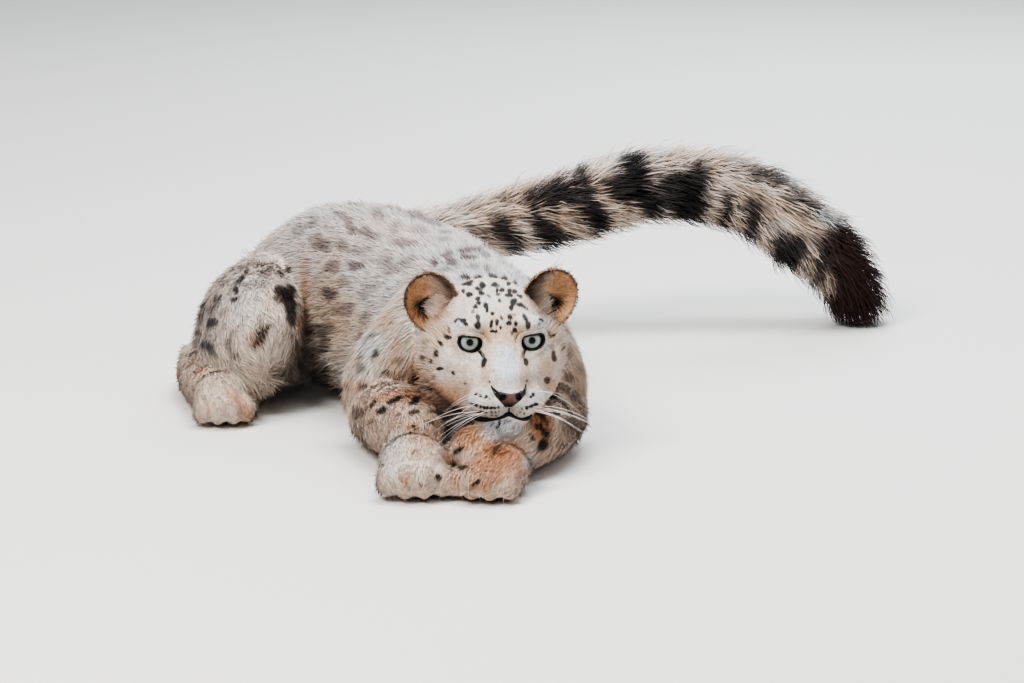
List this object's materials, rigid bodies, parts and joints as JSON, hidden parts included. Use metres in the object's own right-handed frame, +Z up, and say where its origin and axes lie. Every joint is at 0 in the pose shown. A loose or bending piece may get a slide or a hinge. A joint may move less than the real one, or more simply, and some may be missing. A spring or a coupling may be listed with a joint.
{
  "type": "snow leopard",
  "caption": "Life-size still model of a snow leopard that lies flat with its chin on its forepaws, hind legs tucked and long bushy tail in an arch to its left.",
  "frame": {"origin": "on the floor under the middle of the whole animal's box", "axes": "+Z up, -Y the way the animal faces, +X its left, where the tail reaches"},
  "size_m": [0.9226, 1.1622, 0.2401],
  "materials": {
    "fur": "soft pale grey to cream coat with grey-brown rosettes",
    "paw_fur": "short cream coat with a tan tint",
    "ear_fur": "short tan coat with a dark edge",
    "tail_fur": "long bushy coat with dark blotches and rings",
    "eye": "glossy pale green-grey eye with a round dark pupil",
    "nose": "moist pebbled pinkish-brown nose with dark wings",
    "whisker": "stiff white whiskers"
  },
  "bodies": {
    "root": {"torso": "fur", "neck": "fur", "eye_right": "eye", "eye_left": "eye", "head": "fur", "ear_right": "ear_fur", "ear_left": "ear_fur", "forepaw_right": "paw_fur", "forearm_right": "fur", "upper_arm_right": "fur", "hindpaw_right": "paw_fur", "hind_foot_right": "paw_fur", "thigh_right": "fur", "shank_right": "fur", "forepaw_left": "paw_fur", "forearm_left": "fur", "upper_arm_left": "fur", "hindpaw_left": "paw_fur", "hind_foot_left": "paw_fur", "thigh_left": "fur", "shank_left": "fur", "tail_1": "tail_fur", "tail_2": "tail_fur", "tail_3": "tail_fur", "tail_4": "tail_fur", "tail_5": "tail_fur"}
  },
  "joints": []
}
